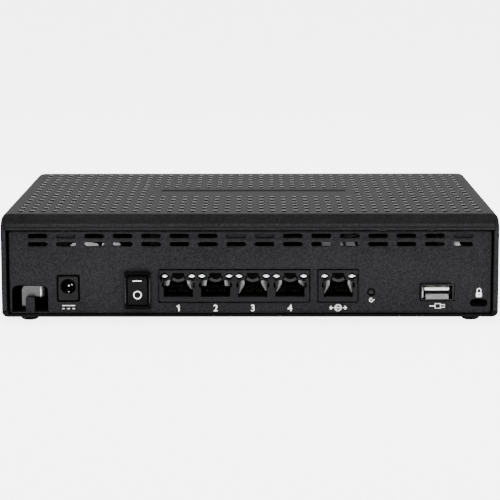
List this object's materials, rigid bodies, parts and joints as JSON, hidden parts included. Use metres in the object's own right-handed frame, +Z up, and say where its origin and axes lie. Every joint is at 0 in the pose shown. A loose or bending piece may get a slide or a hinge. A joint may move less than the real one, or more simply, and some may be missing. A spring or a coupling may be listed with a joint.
{
  "type": "wireless router",
  "caption": "Flat desktop wireless router with a slotted roof and a rear panel of network sockets, power inlet, rocker switch, USB socket, reset button, lock slot and cord hook.",
  "frame": {"origin": "middle of the footprint, on the surface the feet stand on", "axes": "+X to the right as the socket panel is read, -Y out of the socket panel, +Z up"},
  "size_m": [0.2, 0.1434, 0.045],
  "materials": {
    "lead_sleeve_left": "grey sleeve",
    "lead_sleeve_right": "grey sleeve",
    "antenna_laminate_left": "etched laminate",
    "antenna_laminate_right": "etched laminate",
    "base_plastic": "fine matte texture",
    "board_screw_steel_front_left": "zinc plated",
    "board_screw_steel_front_right": "zinc plated",
    "board_screw_steel_rear_left": "zinc plated",
    "board_screw_steel_rear_right": "zinc plated",
    "capacitor_sleeve_bulk": "sleeved aluminium can",
    "capacitor_sleeve_input": "sleeved aluminium can",
    "capacitor_sleeve_output": "sleeved aluminium can",
    "case_screw_steel_front_left": "zinc plated",
    "case_screw_steel_front_right": "zinc plated",
    "case_screw_steel_rear_left": "zinc plated",
    "case_screw_steel_rear_right": "zinc plated",
    "hook_metal": "satin",
    "pocket_plastic": "moulded black",
    "dc_jack_plastic": "moulded black",
    "dc_pin_steel": "nickel plated",
    "dc_spring_steel": "nickel plated",
    "foot_rubber_front_left": "soft matte",
    "foot_rubber_front_right": "soft matte",
    "foot_rubber_rear_left": "soft matte",
    "foot_rubber_rear_right": "soft matte",
    "bezel_plastic": "polished black",
    "front_pipe_clear": "frosted clear plastic",
    "heatsink_aluminium": "extruded fins",
    "lan_contacts_1_gold": "gold plated",
    "lan_contacts_2_gold": "gold plated",
    "lan_contacts_3_gold": "gold plated",
    "lan_contacts_4_gold": "gold plated",
    "lan_jack_plastic": "moulded black",
    "lan_shield_steel": "tin-plated sheet",
    "lan_pipe_clear": "frosted clear plastic",
    "lan_magnetics_resin": "moulded resin",
    "lock_steel": "pressed sheet",
    "board_laminate": "green solder mask",
    "inductor_ferrite": "sintered ferrite",
    "rocker_plastic": "smooth black with white marks",
    "processor_resin": "moulded resin",
    "radio_shield_steel_left": "tin-plated sheet",
    "radio_shield_steel_right": "tin-plated sheet",
    "panel_plastic": "fine spark texture with printed white marks",
    "reset_plastic": "moulded black",
    "reset_switch_plastic": "moulded black",
    "switch_plastic": "smooth black",
    "switch_terminal_brass_lower": "plated blade",
    "switch_terminal_brass_upper": "plated blade",
    "cover_plastic": "fine satin texture, black plastic",
    "usb_steel": "plated sheet",
    "usb_insert_white": "moulded white",
    "wan_contacts_gold": "gold plated",
    "wan_jack_plastic": "moulded black",
    "wan_shield_steel": "tin-plated sheet",
    "wan_pipe_clear": "frosted clear plastic",
    "wan_magnetics_resin": "moulded resin"
  },
  "bodies": {
    "housing": {"antenna_lead_left": "lead_sleeve_left", "antenna_lead_right": "lead_sleeve_right", "antenna_left": "antenna_laminate_left", "antenna_right": "antenna_laminate_right", "base_tray": "base_plastic", "board_screw_front_left": "board_screw_steel_front_left", "board_screw_front_right": "board_screw_steel_front_right", "board_screw_rear_left": "board_screw_steel_rear_left", "board_screw_rear_right": "board_screw_steel_rear_right", "capacitor_bulk": "capacitor_sleeve_bulk", "capacitor_input": "capacitor_sleeve_input", "capacitor_output": "capacitor_sleeve_output", "case_screw_front_left": "case_screw_steel_front_left", "case_screw_front_right": "case_screw_steel_front_right", "case_screw_rear_left": "case_screw_steel_rear_left", "case_screw_rear_right": "case_screw_steel_rear_right", "cord_hook": "hook_metal", "cord_pocket": "pocket_plastic", "dc_jack_housing": "dc_jack_plastic", "dc_jack_pin": "dc_pin_steel", "dc_jack_spring": "dc_spring_steel", "foot_front_left": "foot_rubber_front_left", "foot_front_right": "foot_rubber_front_right", "foot_rear_left": "foot_rubber_rear_left", "foot_rear_right": "foot_rubber_rear_right", "front_bezel": "bezel_plastic", "front_light_pipe": "front_pipe_clear", "heatsink": "heatsink_aluminium", "lan_contacts_1": "lan_contacts_1_gold", "lan_contacts_2": "lan_contacts_2_gold", "lan_contacts_3": "lan_contacts_3_gold", "lan_contacts_4": "lan_contacts_4_gold", "lan_jack_housing": "lan_jack_plastic", "lan_jack_shield": "lan_shield_steel", "lan_light_pipe": "lan_pipe_clear", "lan_magnetics": "lan_magnetics_resin", "lock_bracket": "lock_steel", "main_board": "board_laminate", "power_inductor": "inductor_ferrite", "processor": "processor_resin", "radio_shield_left": "radio_shield_steel_left", "radio_shield_right": "radio_shield_steel_right", "rear_panel": "panel_plastic", "reset_switch": "reset_switch_plastic", "switch_housing": "switch_plastic", "switch_terminal_lower": "switch_terminal_brass_lower", "switch_terminal_upper": "switch_terminal_brass_upper", "top_cover": "cover_plastic", "usb_shell": "usb_steel", "usb_tongue": "usb_insert_white", "wan_contacts": "wan_contacts_gold", "wan_jack_housing": "wan_jack_plastic", "wan_jack_shield": "wan_shield_steel", "wan_light_pipe": "wan_pipe_clear", "wan_magnetics": "wan_magnetics_resin"},
    "rocker": {"power_rocker": "rocker_plastic"},
    "reset": {"reset_button": "reset_plastic"}
  },
  "joints": [
    {"name": "power_rocker_hinge", "type": "hinge", "parent": "housing", "child": "rocker", "pos_m": [-0.04525, -0.0683, 0.01375], "axis": [-1, 0, 0], "range_deg": [0, 20]},
    {"name": "reset_button_slide", "type": "slide", "parent": "housing", "child": "reset", "axis": [0, 1, 0], "range_m": [0, 0.001], "stiffness_N_per_m": 300, "springref_m": -0.002}
  ]
}
